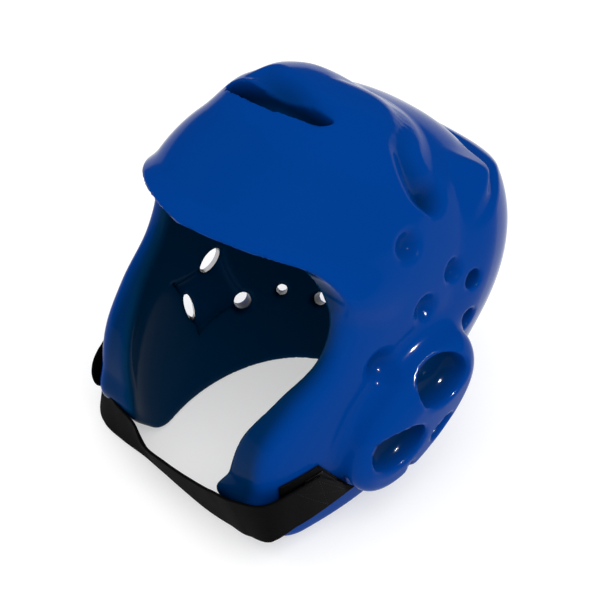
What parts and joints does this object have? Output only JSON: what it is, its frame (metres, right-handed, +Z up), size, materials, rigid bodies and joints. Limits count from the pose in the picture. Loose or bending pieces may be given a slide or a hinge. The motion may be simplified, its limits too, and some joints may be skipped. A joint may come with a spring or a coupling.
{
  "type": "taekwondo headgear",
  "caption": "Open-face moulded foam head guard with raised ear domes, vent holes, a top slot and an elastic chin strap.",
  "frame": {"origin": "on the floor under the middle of the headgear's box, as it stands by itself on its lower rim", "axes": "+Z up, -Y the side of the face opening, +X the wearer's left"},
  "size_m": [0.2176, 0.2448, 0.2345],
  "materials": {
    "dipped_foam": "glossy royal-blue vinyl skin dipped over closed-cell foam",
    "loop_tape": "matt black loop tape",
    "hook_tape": "black nylon hook tape",
    "elastic_webbing": "ribbed black elastic webbing"
  },
  "bodies": {
    "root": {"shell": "dipped_foam", "loop_patch_left": "loop_tape", "loop_patch_right": "loop_tape", "hook_tab_left": "hook_tape", "hook_tab_right": "hook_tape", "chin_strap": "elastic_webbing"}
  },
  "joints": []
}
